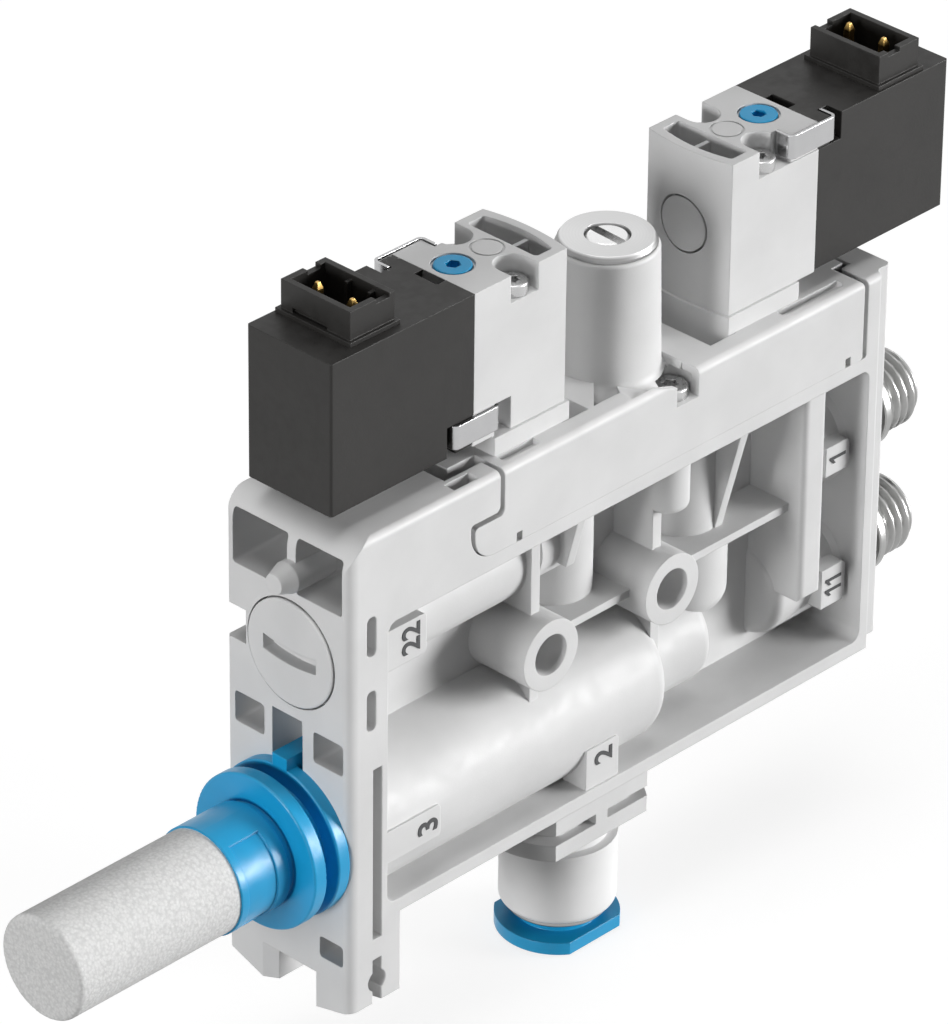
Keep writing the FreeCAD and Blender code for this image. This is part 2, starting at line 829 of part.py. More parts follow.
def tower():
    """Round tower of the flow-control screw with a filleted foot."""
    foot = tower_foot_radius
    corners = [(valley_z-1, 0), (valley_z-1, foot+tower_fillet),
               (land_z, foot+tower_fillet), (land_z+tower_fillet, foot, tower_fillet),
               (tower_top_z, tower_top_radius, tower_edge_radius), (tower_top_z, 0)]
    return turned(corners, "z", (tower_x, 0))


def valve_plate():
    body = prism(plate_profile(), "y", -half_width, half_width)
    body = body.common(prism(bar_section(), "x", -far, far))
    rim = half_width-rim_width
    pad_end = base_end_x+pad_margin
    left_valley = box((pad_end-1, valley_right_x), (-rim, rim), (valley_z, far))
    land_y = half_width-top_edge_radius
    fall_x, level_x, level_end_x, rise_x = land_ramp_x
    land = prism([(fall_x, housing_top_z), (level_x, land_z), (level_end_x, land_z), (rise_x, housing_top_z),
                  (rise_x, far), (fall_x, far)], "y", -land_y, land_y)
    pocket = prism(tower_pocket, "z", housing_top_z-tower_pocket_depth, far)
    ramp = prism([(ridge_ramp_x, housing_top_z), (notch_x[0], ridge_notch_z), (notch_x[0]+1, ridge_notch_z),
                  (notch_x[0]+1, far), (ridge_ramp_x, far)], "y", -half_width-1, -land_y+0.3)
    body = cut(body, left_valley, opposite(left_valley), land, *both_faces(ramp), *both_faces(pocket))
    for left, right in trough_x:
        trough = prism([(left, trough_inset-half_width, 0.5), (right, trough_inset-half_width, 0.5),
                        (right, -rim), (left, -rim)], "z", housing_top_z-trough_depth, far)
        body = cut(body, *both_faces(trough))
    pad = base_prism(pad_margin, pad_left_x, plate_toe_top_z, pad_top_z)
    tongues = [box((tongue_left_x, plate_left_x+1), (-tongue_left_half_width, tongue_left_half_width),
                   (tongue_bottom_z, housing_top_z)),
               box((plate_right_x-1, tongue_right_x), (-tongue_right_half_width, tongue_right_half_width),
                   (end_gap_bottom_z+plate_gap, housing_top_z))]
    body = fuse(body, pad, opposite(pad), tower(), *tongues)
    body = cut(body, base_seal(), opposite(base_seal()))
    for y in (-plate_screw_y, plate_screw_y):
        body = cut(body, rod("z", plate_screw_seat_z, ridge_notch_z, (plate_screw_x, y),
                             plate_screw_head_radius+plate_screw_clearance))
        body = cut(body, rod("z", 0, ridge_notch_z, (plate_screw_x, y),
                             plate_screw_shank_radius+plate_screw_clearance/2))
    notch = box(notch_x, (-half_width-1, -plate_screw_y), (plate_screw_seat_z, housing_top_z+1))
    body = cut(body, *both_faces(notch))
    width, height, depth = latch_slit
    for x in latch_x:
        slit = box((x-width/2, x+width/2), (-half_width, -half_width+depth),
                   (plate_bottom_z-1, plate_bottom_z+height))
        body = cut(body, *both_faces(slit))
    for sign in (-1, 1):
        hole = rod("z", valve_screw_seat_z-valve_screw_length, far, (valve_screw_x, sign*valve_screw_y),
                   valve_screw_shank_radius)
        body = cut(body, hole, opposite(hole))
    bush_bottom = bush_rim_z-bush_length
    stem_bottom = needle_bottom_z()-needle_travel-0.5
    body = cut(body, rod("z", bush_bottom, far, (tower_x, 0), bush_shank_radius),
               rod("z", stem_bottom, far, (tower_x, 0), flow_passage_radius))
    return body


def needle_top_z():
    return bush_top_z-screw_sink-screw_length-needle_travel-0.05


def needle_bottom_z():
    return needle_top_z()-needle_length


def base_seal(gap=0.0):
    """Flat ring seal in the top of a valve pad, between the two valve screws."""
    margin = base_seal_half_width-half_valve
    left = coil_base_x+base_seal_inset
    outer = base_prism(margin-gap, left+gap, pad_top_z-base_seal_thickness, pad_top_z)
    inner = base_prism(margin-base_seal_rim+gap, left+base_seal_rim-gap, 0, far)
    return cut(outer, inner)


def plate_seal():
    """Moulded seal in a groove of the housing, under the valve plate."""
    x = (plate_left_x-0.6, plate_right_x-1.6)
    y = plate_screw_y-plate_screw_shank_radius-plate_seal_margin
    width = plate_seal_width
    outer = [(x[0], -y, 1.5), (x[1], -y, 1.5), (x[1], y, 1.5), (x[0], y, 1.5)]
    inner = [(x[0]+width, width-y, 0.6), (x[1]-width, width-y, 0.6), (x[1]-width, y-width, 0.6),
             (x[0]+width, y-width, 0.6)]
    low = plate_bottom_z-plate_seal_depth
    return cut(prism(outer, "z", low, plate_bottom_z), prism(inner, "z", low-1, plate_bottom_z+1))


def screw(x, y, seat_z, head_radius, head_height, shank_radius, length):
    """Pan-head screw; the drive recess is a small star in a round dimple."""
    corners = [(seat_z-length, 0), (seat_z-length+0.5, shank_radius), (seat_z, shank_radius),
               (seat_z, head_radius), (seat_z+head_height, head_radius, 0.2), (seat_z+head_height, 0)]
    body = turned(corners, "z", (x, y))
    points = []
    for i in range(12):
        reach = head_radius*(0.52 if i % 2 == 0 else 0.34)
        angle = math.radians(30*i+8)
        points.append((x+reach*math.cos(angle), y+reach*math.sin(angle)))
    star = prism(points, "z", seat_z+head_height*0.35, seat_z+head_height+1)
    return cut(body, star)


def plate_screws():
    height = plate_screw_head_top_z-plate_screw_seat_z
    return [screw(plate_screw_x, y, plate_screw_seat_z, plate_screw_head_radius, height,
                  plate_screw_shank_radius, plate_screw_length) for y in (-plate_screw_y, plate_screw_y)]


def valve_screws():
    left = [screw(valve_screw_x, sign*valve_screw_y, valve_screw_seat_z, valve_screw_head_radius,
                  valve_screw_head_height, valve_screw_shank_radius, valve_screw_length) for sign in (-1, 1)]
    return left+[opposite(piece) for piece in left]


def flow_bush():
    """Metal bush pressed in the tower; the adjusting screw turns inside it."""
    stem_bore = needle_radius+needle_clearance
    corners = [(bush_rim_z-bush_length, stem_bore), (bush_rim_z-bush_length, bush_shank_radius),
               (tower_top_z, bush_shank_radius), (tower_top_z, bush_rim_radius),
               (bush_rim_z+0.2, bush_rim_radius), (bush_top_z, bush_top_radius),
               (bush_top_z, screw_radius+screw_clearance),
               (bush_top_z-screw_sink-screw_length, screw_radius+screw_clearance),
               (bush_top_z-screw_sink-screw_length, stem_bore)]
    return turned(corners, "z", (tower_x, 0))


def adjusting_screw():
    top = bush_top_z-screw_sink
    body = turned([(top-screw_length+0.1, 0), (top-screw_length+0.1, screw_radius),
                   (top-screw_chamfer, screw_radius), (top, screw_radius-screw_chamfer), (top, 0)],
                  "z", (tower_x, 0))
    half = screw_slot_width/2
    slot = box((tower_x-far, tower_x+far), (-half, half), (top-screw_slot_depth, top+1))
    slot.rotate(Vector(tower_x, 0, 0), Vector(0, 0, 1), screw_slot_angle)
    return cut(body, slot)


def needle():
    """Tapered needle that throttles the passage under the tower."""
    top = needle_top_z()
    low = needle_bottom_z()
    corners = [(low, 0), (low, needle_tip_radius), (low+2.5, needle_radius), (top, needle_radius), (top, 0)]
    return turned(corners, "z", (tower_x, 0))


def valve_notch(sign):
    """Round-ended notch over a valve screw, open to the side."""
    y = sign*valve_screw_y
    x = (valve_screw_x-valve_notch_radius, valve_screw_x+valve_notch_radius)
    slot = box(x, sorted((y, sign*(half_valve+1))), (valve_screw_seat_z, far))
    return slot.fuse(rod("z", valve_screw_seat_z, far, (valve_screw_x, y), valve_notch_radius))


def clip_strip(x, low, high, side, extra):
    """Bent sheet: a face along the side of the valve with a leg turned in at each end."""
    outer = clip_face_y+extra
    inner = clip_face_y-clip_sheet-extra
    depth = clip_face_y-clip_leg-extra
    left = x[0]-extra
    right = x[1]+extra
    thick = clip_sheet+2*extra
    bend = clip_bend+extra
    corners = [(left, depth), (left, outer, bend), (right, outer, bend), (right, depth),
               (right-thick, depth), (right-thick, inner, bend-thick), (left+thick, inner, bend-thick),
               (left+thick, depth)]
    strip = prism(corners, "z", low-extra, high+extra)
    if side < 0:
        strip = strip.mirror(Vector(0, 0, 0), Vector(0, 1, 0))
    return strip


def upper_clip(extra=0.0):
    return clip_strip(clip_x, clip_top_z-clip_height, clip_top_z, 1, extra)


def lower_clip(extra=0.0):
    return clip_strip(lower_clip_x, lower_clip_bottom_z, lower_clip_bottom_z+clip_height, -1, extra)


def clip_rooms():
    """Room for the clips in the base and the coil."""
    upper = box((clip_x[0]-clip_gap, valve_screw_x), (clip_face_y-clip_sheet-0.15, far),
                (valve_screw_seat_z, far))
    upper_leg = box((clip_x[1]-clip_sheet-clip_gap, valve_screw_x), (clip_face_y-clip_leg-clip_gap, far),
                    (valve_screw_seat_z, far))
    coil_leg = box((clip_x[0]-0.9, clip_x[0]+clip_sheet+clip_gap), (clip_face_y-clip_leg-clip_gap, far),
                   (valve_screw_seat_z, far))
    lower = box((lower_clip_x[0]-clip_gap, lower_clip_x[1]+1.0), (-far, -clip_face_y+clip_sheet+0.15),
                (0, lower_clip_bottom_z+clip_height+clip_gap))
    slot = box((lower_clip_x[1]-clip_sheet-clip_gap, lower_clip_x[1]+1.45),
               (-far, -clip_face_y+clip_leg+clip_gap), (0, lower_clip_bottom_z+clip_height+clip_gap))
    coil_slot = box((lower_clip_x[0]-0.7, lower_clip_x[0]+clip_sheet+clip_gap),
                    (-far, -clip_face_y+clip_leg+clip_gap), (0, lower_clip_bottom_z+clip_height+clip_gap))
    return [upper, upper_leg, coil_leg, lower, slot, coil_slot]


def end_pocket():
    """Two-part curved pocket at the outer end of a valve base."""
    low = valve_top_z-pocket_depth
    shell = base_prism(-pocket_wall, pocket_inner_x, low, far)
    room = shell.common(box((-far, far), (-pocket_half_width, pocket_half_width), (low, far)))
    room = room.makeFillet(pocket_radius, upright_edges(room))
    web_y = (pocket_web_y-pocket_web/2, pocket_web_y+pocket_web/2)
    web = box((-far, far), web_y, (low, valve_top_z-pocket_web_drop))
    return cut(room, web)


def valve_base():
    body = base_prism(0, coil_base_x, pad_top_z, valve_top_z)
    body = cut(body, valve_notch(-1), valve_notch(1), end_pocket(), *clip_rooms())
    override_bottom = valve_top_z-override_length-override_travel-0.1
    body = cut(body, rod("z", override_bottom, far, (override_x, 0), override_radius+override_clearance),
               rod("z", valve_top_z-override_ring_depth, far, (override_x, 0), override_ring_radius),
               rod("z", override_bottom-spring_length+override_travel+0.1, far, (override_x, 0),
                   spring_outer_radius+0.15))
    groove = cut(rod("z", valve_top_z-disc_groove_depth, far, (disc_x, 0), disc_radius),
                 rod("z", 0, far, (disc_x, 0), disc_radius-disc_groove))
    body = cut(body, groove)
    for sign in (-1, 1):
        body = cut(body, rod("z", 0, far, (valve_screw_x, sign*valve_screw_y), valve_screw_shank_radius+0.1))
    plug_room = rod("x", base_end_x-side_plug_depth, far, (side_plug_y, side_plug_z),
                    side_plug_radius+side_plug_gap)
    body = cut(body, plug_room)
    armature_room = rod("x", coil_base_x-1, coil_base_x+armature_seat_depth, (0, armature_z),
                        armature_radius+armature_clearance)
    return cut(body, armature_room)


def side_plug():
    """Flush round plug in the bulging end of a valve base."""
    body = rod("x", base_end_x-side_plug_depth, far, (side_plug_y, side_plug_z), side_plug_radius)
    body = body.common(base_prism(0, coil_base_x, pad_top_z, valve_top_z))
    return body


def armature():
    """Moving core of the solenoid; it slides in the coil and closes on the base."""
    start = coil_base_x+armature_seat_depth-armature_travel-armature_clearance
    return turned([(start-armature_length, 0), (start-armature_length, armature_radius, 0.3),
                   (start, armature_radius, 0.3), (start, 0)], "x", (0, armature_z))


def coil():
    body = box((coil_end_x, coil_base_x), (-half_valve, half_valve), (coil_bottom_z, valve_top_z))
    end_edges = [edge for edge in upright_edges(body) if edge.Vertexes[0].X < coil_base_x-1]
    body = body.makeFillet(valve_edge_radius, end_edges)
    body = cut(body, *clip_rooms())
    start = coil_base_x+armature_seat_depth-armature_length-2*armature_travel-armature_clearance
    body = cut(body, rod("x", start, coil_base_x+1, (0, armature_z), armature_radius+armature_clearance))
    key = box((coil_base_x-coil_key_size[0], coil_base_x+1), coil_key_y, (valve_top_z-coil_key_size[1], far))
    body = cut(body, key)
    room = box(socket_x, socket_y, (valve_top_z-socket_sink, far))
    return cut(body, room)


def plug_socket():
    """Shroud for a two-pole plug, set in the top of a coil."""
    bottom = valve_top_z-socket_sink
    body = box(socket_x, socket_y, (bottom, socket_top_z))
    flange_x_range = (socket_x[0]-socket_flange, socket_x[1]+socket_flange)
    flange_y_range = (socket_y[0]-socket_flange, socket_y[1]+socket_flange)
    flange = box(flange_x_range, flange_y_range, (valve_top_z, valve_top_z+socket_flange_height))
    body = body.fuse(flange)
    inner_x = (socket_x[0]+socket_wall, socket_x[1]-socket_wall)
    inner_y = (socket_y[0]+socket_wall, socket_y[1]-socket_wall)
    body = cut(body, box(inner_x, inner_y, (socket_floor_z, far)))
    drop = (socket_top_z-socket_notch_depth, far)
    back, front = [(socket_x[0]+start, socket_x[0]+end) for start, end in socket_notches]
    side_slot_z = (valve_top_z+socket_flange_height, valve_top_z+side_slot_height)
    body = cut(body, box(back, (socket_y[1]-socket_wall-0.1, far), drop),
               box(front, (-far, socket_y[0]+socket_wall+0.1), drop),
               box((-far, socket_x[0]+side_slot_depth), side_slot_y, side_slot_z))
    keys = [box((inner_x[1]-socket_rib, inner_x[1]+0.1), y, (socket_floor_z-0.1, socket_top_z-0.5))
            for y in socket_rib_y]
    body = fuse(body, *keys)
    for y in pin_y:
        half = pin_width/2
        body = cut(body, box((pin_x-half, pin_x+half), (y-half, y+half), (0, far)))
    return body


def contact_pins():
    pins = []
    half = pin_width/2
    for y in pin_y:
        shaft = box((pin_x-half, pin_x+half), (y-half, y+half), (valve_top_z-socket_sink, pin_top_z-pin_tip))
        corners = ((-1, -1), (1, -1), (1, 1), (-1, 1))
        low = [Vector(pin_x+a*half, y+b*half, pin_top_z-pin_tip) for a, b in corners]
        tip = half*pin_tip_share
        high = [Vector(pin_x+a*tip, y+b*tip, pin_top_z) for a, b in corners]
        point = Part.makeLoft([Part.makePolygon(low+low[:1]), Part.makePolygon(high+high[:1])], True)
        pins.append(shaft.fuse(point).removeSplitter())
    return pins


def override():
    """Blue manual override: a plunger with a hexagon recess, flush with the top of the valve."""
    top = valve_top_z
    body = turned([(top-override_length, 0), (top-override_length, override_radius),
                   (top, override_radius, 0.12), (top, 0)], "z", (override_x, 0))
    reach = override_hex/2/math.cos(math.radians(30))
    points = [(override_x+reach*math.cos(math.radians(60*i)), reach*math.sin(math.radians(60*i)))
              for i in range(6)]
    return cut(body, prism(points, "z", top-override_hex_depth, top+1))


def override_spring():
    """Compression spring under the override, as a stack of close rings."""
    top = valve_top_z-override_length
    radius = spring_outer_radius-spring_wire/2
    pitch = (spring_length-spring_wire)/spring_turns
    helix = Part.makeHelix(pitch, spring_length-spring_wire, radius)
    helix.translate(Vector(override_x, 0, top-spring_length+spring_wire/2))
    start = helix.Edges[0].Vertexes[0].Point
    section = Part.Wire(Part.makeCircle(spring_wire/2, start, Vector(0, 1, 0)))
    return Part.Wire(helix.Edges).makePipeShell([section], True, True)


def end_cap():
    """Cap with a coin slot that closes the upper tube."""
    face = housing_end_x-cap_proud
    corners = [(face, 0), (face, cap_radius, 0.2), (face+cap_thickness, cap_radius),
               (face+cap_thickness, cap_spigot_radius), (face+cap_length-0.7, cap_spigot_radius),
               (face+cap_length-0.3, cap_spigot_radius-0.4), (face+cap_length-0.3, 0)]
    body = turned(corners, "x", (service_y, service_z))
    groove = seal_groove(face+cap_thickness+cap_seal_offset, (service_y, service_z),
                         cap_spigot_radius+cap_bore_clearance)
    return cut(body, groove, coin_slot(face))


def coin_slot(face):
    """Slightly sagging slot for a coin, sunk in the cap's face."""
    length, width, depth = cap_slot
    low = []
    high = []
    for i in range(9):
        share = i/4-1
        y = service_y+share*length/2
        z = service_z-cap_slot_sag*(1-share*share)
        low.append((y, z-width/2))
        high.append((y, z+width/2))
    return prism(low+high[::-1], "x", face-1, face+depth)


def cap_seal():
    groove_x = housing_end_x-cap_proud+cap_thickness+cap_seal_offset
    return seal_ring(groove_x, (service_y, service_z), cap_spigot_radius+cap_bore_clearance)


def silencer_body():
    """Blue plug-in body of the silencer: two flanges, neck and spigot with a locking key."""
    spigot_end = housing_end_x+spigot_length
    corners = [(sleeve_start_x, spigot_bore_radius), (sleeve_start_x, neck_radius),
               (neck_end_x, neck_radius, 0.15), (neck_end_x, neck_root_radius),
               (flange_outer[0], neck_root_radius), (flange_outer[0], flange_radius, 0.2),
               (flange_outer[1], flange_radius, 0.15), (flange_outer[1], groove_radius),
               (flange_inner_x, groove_radius), (flange_inner_x, flange_radius, 0.15),
               (housing_end_x, flange_radius), (housing_end_x, spigot_radius),
               (spigot_end-0.6, spigot_radius), (spigot_end, spigot_radius-0.4),
               (spigot_end, spigot_bore_radius)]
    body = turned(corners, "x", (0, ejector_z))
    key = box((flange_inner_x, housing_end_x+key_depth), key_y, (ejector_z+spigot_radius-0.3, key_top_z))
    body = fuse(body, key)
    groove = seal_groove(spigot_end-spigot_seal_offset, (0, ejector_z), spigot_radius+spigot_clearance)
    panel = cut(rod("x", panel_x[0], panel_x[1], (0, ejector_z), neck_radius+1),
                rod("x", panel_x[0], panel_x[1], (0, ejector_z), neck_radius-panel_depth))
    start, end = [(far*math.cos(math.radians(a)), ejector_z+far*math.sin(math.radians(a)))
                  for a in panel_angles]
    sector = prism([(0, ejector_z), start, (-2*far, ejector_z), end], "x", panel_x[0], panel_x[1])
    return cut(body, groove, panel.common(sector))


def silencer_seal():
    groove_x = housing_end_x+spigot_length-spigot_seal_offset
    return seal_ring(groove_x, (0, ejector_z), spigot_radius+spigot_clearance)


def silencer_sleeve():
    """Porous sleeve, closed at its outer end; its root sits in the blue neck."""
    root = spigot_bore_radius
    corners = [(sleeve_end_x, 0), (sleeve_end_x, sleeve_radius, 0.4), (sleeve_start_x, sleeve_radius),
               (sleeve_start_x, root), (sleeve_start_x+4.0, root), (sleeve_start_x+4.0, root-0.8),
               (sleeve_start_x, root-0.8), (sleeve_end_x+sleeve_wall, sleeve_radius-sleeve_wall-1.1),
               (sleeve_end_x+sleeve_wall, 0)]
    return turned(corners, "x", (0, ejector_z))


def receiver_nozzle():
    """Receiver nozzle of the ejector: the jet expands through its bore to the silencer."""
    start, end = receiver_x
    land = cartridge_land
    lead, lead_depth = cartridge_lead
    corners = [(start, receiver_mouth_radius), (start, cartridge_radius), (start+land, cartridge_radius),
               (start+land+cartridge_ramp, cartridge_neck_radius),
               (end-land-cartridge_ramp, cartridge_neck_radius),
               (end-land, cartridge_radius), (end-lead, cartridge_radius), (end, cartridge_radius-lead_depth),
               (end, receiver_mouth_radius-0.2), (end-receiver_mouth_length, receiver_throat_radius),
               (end-receiver_throat_length, receiver_throat_radius)]
    return turned(corners, "x", (0, ejector_z))


def jet_nozzle():
    start, end = jet_x
    seat_x = start+jet_tip_length
    corners = [(start, jet_throat_radius), (start, jet_tip_radius), (seat_x, cartridge_neck_radius),
               (seat_x, cartridge_radius), (end, cartridge_radius), (end, jet_bore_radius),
               (start+jet_funnel_end, jet_bore_radius), (start+jet_throat_length, jet_throat_radius)]
    return turned(corners, "x", (0, ejector_z))


def fitting_body():
    """Body of the push-in fitting, pressed into the collar."""
    bore = collet_radius+collet_clearance+collet_room
    room_top_z = collet_top_z+seal_room_height
    stop_z = collet_top_z+tube_stop_height
    corners = [(fitting_shank_top_z, vacuum_bore_radius), (fitting_shank_top_z, fitting_shank_radius),
               (collar_bottom_z, fitting_shank_radius), (collar_bottom_z, fitting_neck_radius),
               (fitting_top_z, fitting_neck_radius), (fitting_top_z, fitting_radius),
               (fitting_bottom_z, fitting_radius, fitting_edge_radius), (fitting_bottom_z, bore),
               (room_top_z, bore), (room_top_z, tube_radius+tube_clearance),
               (stop_z, tube_radius+tube_clearance), (stop_z, vacuum_bore_radius)]
    return turned(corners, "z", (port_x, 0))


def tube_seal():
    """Lip seal round the tube, above the collet."""
    outer = collet_radius+collet_clearance+collet_room
    low = collet_top_z+release_travel+0.3
    top = collet_top_z+seal_room_height
    corners = [(low, tube_radius+tube_clearance), (low, outer), (top, outer), (top, tube_radius+0.5),
               (low+0.8, tube_radius-0.05)]
    return turned(corners, "z", (port_x, 0))


def retainer_ring():
    """Metal ring that holds the collet in the body."""
    bore = collet_radius+collet_clearance
    outer = collet_radius+collet_clearance+collet_room
    sleeve_top_z = fitting_bottom_z+retainer_depth
    corners = [(retainer_bottom_z, bore), (retainer_bottom_z, retainer_radius, 0.2),
               (fitting_bottom_z, retainer_radius), (fitting_bottom_z, outer),
               (sleeve_top_z, outer), (sleeve_top_z, bore)]
    return turned(corners, "z", (port_x, 0))


def release_ring():
    """Blue release ring with its collet sleeve; pushed up, it frees the tube."""
    low, high = release_ring_z
    bore = tube_radius+tube_clearance
    sleeve = turned([(high-0.1, bore), (high-0.1, collet_radius), (collet_top_z, collet_radius, 0.2),
                     (collet_top_z, bore)], "z", (port_x, 0))
    disc = cut(rod("z", low, high, (port_x, 0), release_ring_radius),
               rod("z", low-1, high+1, (port_x, 0), bore))
    flats = box((port_x-far, port_x+far), (-release_ring_flat, release_ring_flat), (low-1, high+1))
    body = fuse(disc.common(flats), sleeve)
    funnel = rod("z", low-0.01, low+0.5, (port_x, 0), bore+0.5, bore)
    half = collet_slit_width/2
    slit_z = (collet_top_z-collet_slit[0], collet_top_z+1)
    crossed = box((port_x-far, port_x+far), (-half, half), (collet_top_z-1, collet_top_z+collet_slit[1]))
    crossed.rotate(Vector(port_x, 0, 0), Vector(0, 0, 1), 90)
    return cut(body, funnel, box((-far, far), (-half, half), slit_z),
               crossed.common(box((-far, far), (-far, far), slit_z)))


def supply_nipple(z):
    """Turned nipple screwed in the end flange; its free end carries the thread of the rail."""
    corners = [(flange_x-nipple_root_length, nipple_bore_radius),
               (flange_x-nipple_root_length, nipple_thread_radius), (flange_x, nipple_thread_radius),
               (flange_x, nipple_neck_radius), (nipple_collar_x[0], nipple_neck_radius),
               (nipple_collar_x[0], nipple_collar_radius, 0.15),
               (nipple_collar_x[1], nipple_collar_radius, 0.15),
               (nipple_collar_x[1], nipple_thread_radius-nipple_undercut),
               (nipple_collar_x[1]+0.4, nipple_thread_radius-nipple_undercut),
               (nipple_collar_x[1]+0.6, nipple_thread_radius), (nipple_end_x-0.4, nipple_thread_radius),
               (nipple_end_x, nipple_thread_radius-0.45), (nipple_end_x, nipple_bore_radius)]
    return turned(corners, "x", (0, z))


def save(name, shapes):
    if not isinstance(shapes, list):
        shapes = [shapes]
    solids = []
    for shape in shapes:
        solids.extend(shape.Solids)
    result = solids[0] if len(solids) == 1 else Part.makeCompound(solids)
    result.exportStep(f"parts/{name}.step")
    volume = sum(solid.Volume for solid in solids)
    valid = all(solid.isValid() for solid in solids)
    print(f"{name}: {len(solids)} solid(s), {volume:.2f} mm3, valid {valid}")


def main():
    os.makedirs("parts", exist_ok=True)
    body = cut(housing(), plate_seal())
    save("housing", body)
    save("valve_plate", valve_plate())
    save("plate_seal", plate_seal())
    save("plate_screws", plate_screws())
    save("valve_screws", valve_screws())
    paired = {"valve_base": valve_base(), "side_plug": side_plug(), "coil": coil(),
              "armature": armature(), "plug_socket": plug_socket(), "contact_pins": contact_pins(),
              "override": override(), "override_spring": override_spring(),
              "upper_clip": upper_clip(), "lower_clip": lower_clip(), "base_seal": base_seal(base_seal_gap)}
    for name, shape in paired.items():
        shapes = shape if isinstance(shape, list) else [shape]
        save(name+"_left", shapes)
        save(name+"_right", [opposite(piece) for piece in shapes])
    save("flow_bush", flow_bush())
    save("adjusting_screw", adjusting_screw())
    save("needle", needle())
    save("end_cap", end_cap())
    save("cap_seal", cap_seal())
    save("silencer_body", silencer_body())
    save("silencer_seal", silencer_seal())
    save("silencer_sleeve", silencer_sleeve())
    save("receiver_nozzle", receiver_nozzle())
    save("jet_nozzle", jet_nozzle())
    save("fitting_body", fitting_body())
    save("tube_seal", tube_seal())
    save("retainer_ring", retainer_ring())
    save("release_ring", release_ring())
    save("supply_nipple_upper", supply_nipple(port_upper_z))
    save("supply_nipple_lower", supply_nipple(port_lower_z))


main()
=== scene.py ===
import bmesh
import bpy
import json
import math
from mathutils import Matrix, Vector, noise

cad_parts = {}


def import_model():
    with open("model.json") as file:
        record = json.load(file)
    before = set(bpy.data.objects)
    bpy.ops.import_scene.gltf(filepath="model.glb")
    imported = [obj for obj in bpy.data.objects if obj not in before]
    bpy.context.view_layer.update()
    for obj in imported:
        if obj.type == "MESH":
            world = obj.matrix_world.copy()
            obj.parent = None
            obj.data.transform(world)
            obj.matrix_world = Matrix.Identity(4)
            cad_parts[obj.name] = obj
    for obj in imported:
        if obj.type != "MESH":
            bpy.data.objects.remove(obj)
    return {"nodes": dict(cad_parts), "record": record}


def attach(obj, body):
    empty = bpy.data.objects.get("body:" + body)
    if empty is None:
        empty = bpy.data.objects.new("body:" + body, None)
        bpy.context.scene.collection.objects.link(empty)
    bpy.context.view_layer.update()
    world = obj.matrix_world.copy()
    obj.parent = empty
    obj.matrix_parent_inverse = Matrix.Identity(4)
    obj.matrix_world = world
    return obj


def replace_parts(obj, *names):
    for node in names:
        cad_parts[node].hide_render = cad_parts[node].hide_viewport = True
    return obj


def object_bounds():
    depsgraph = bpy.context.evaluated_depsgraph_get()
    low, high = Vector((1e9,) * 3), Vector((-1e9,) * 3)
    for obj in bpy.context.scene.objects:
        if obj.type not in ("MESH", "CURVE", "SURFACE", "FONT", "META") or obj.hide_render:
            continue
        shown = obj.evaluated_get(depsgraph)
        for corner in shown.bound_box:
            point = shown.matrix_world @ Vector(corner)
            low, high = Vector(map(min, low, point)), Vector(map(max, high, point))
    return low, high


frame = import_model()
cad_low, cad_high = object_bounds()

MM = 0.001
nodes = frame["nodes"]

# Camera, at the photograph's angle, in degrees and millimetres
CAMERA_AZIMUTH = -46.294
CAMERA_ELEVATION = 30.857
CAMERA_ROLL = 0.617
CAMERA_PLACE = (-424.913, -396.647, 355.321)
CAMERA_LENS = 269.37

# Supply nipples and their thread, in millimetres
NIPPLE_Z = {"upper": 2.85, "lower": -10.6}
NIPPLE_FLANGE_X = 37.0
NIPPLE_COLLAR = (39.9, 40.8)
NIPPLE_END_X = 45.46
NIPPLE_NECK_RADIUS = 3.3
NIPPLE_COLLAR_RADIUS = 4.45
NIPPLE_CREST_RADIUS = 3.9
NIPPLE_ROOT_RADIUS = 3.42
NIPPLE_BORE_RADIUS = 1.7
NIPPLE_EDGE = 0.12
NIPPLE_BORE_CHAMFER = 0.25
THREAD_PITCH = 1.0
THREAD_GAP = 0.35               # plain length between the collar and the thread
THREAD_STEPS = 14               # stations per turn
THREAD_SIDES = 96

# Sintered sleeve of the silencer, in millimetres
SLEEVE_X = (-62.3, -43.45)
SLEEVE_RADIUS = 4.98
SLEEVE_Z = -10.5
SLEEVE_EDGE = 0.45
SLEEVE_GRAIN = 0.035
SLEEVE_SIDES = 240
SLEEVE_STEPS = 110

# Bush on the tower, in millimetres
BUSH_X = 6.545
BUSH_TOP_Z = 33.64
BUSH_PAINTED_RIM_REFLECTION = (0.04, 0.20)         # depth below the top over which a dark reflection is painted on the rim

# Port numbers: piece, text, size, centre X, centre Z and the Y of the plate, in millimetres
PORT_NUMBERS = (
    ("number_2_top", "22", 3.0, -23.75, 8.1, -6.03),
    ("number_3", "3", 3.35, -23.05, -10.8, -7.53),
    ("number_2", "2", 3.1, -0.4, -13.8, -7.33),
    ("number_1", "1", 3.0, 31.45, 3.1, -6.03),
    ("number_11", "11", 3.0, 31.5, -10.45, -6.03),
)
INK_HEIGHT = 0.03
FIGURE_HEIGHT = 0.72            # of a figure, as a share of the size
FIGURE_STEP = 0.52              # from one figure 1 to the next, as a share of its height
# Outline of a figure 1 with its flag, as shares of its height
FIGURE_ONE = ((0.02, 0.0), (0.02, 0.76), (-0.17, 0.62), (-0.17, 0.78), (0.06, 1.0), (0.17, 1.0), (0.17, 0.0))

# Light: direction towards the lamp, strength, spread in degrees
LAMPS = {
    "Key": ((0.69, -0.72, 0.11), 4.9, 28),
    "Side": ((-1.0, -0.04, 0.12), 2.2, 18),
    "Top": ((0.0, 0.05, 1.0), 1.35, 40),
}
AMBIENT = 0.0
FLOOR_GLOW = 0.83
FLOOR_HALF_SIZE = 3.0           # in metres
FLOOR_GAP = 0.3


# Materials

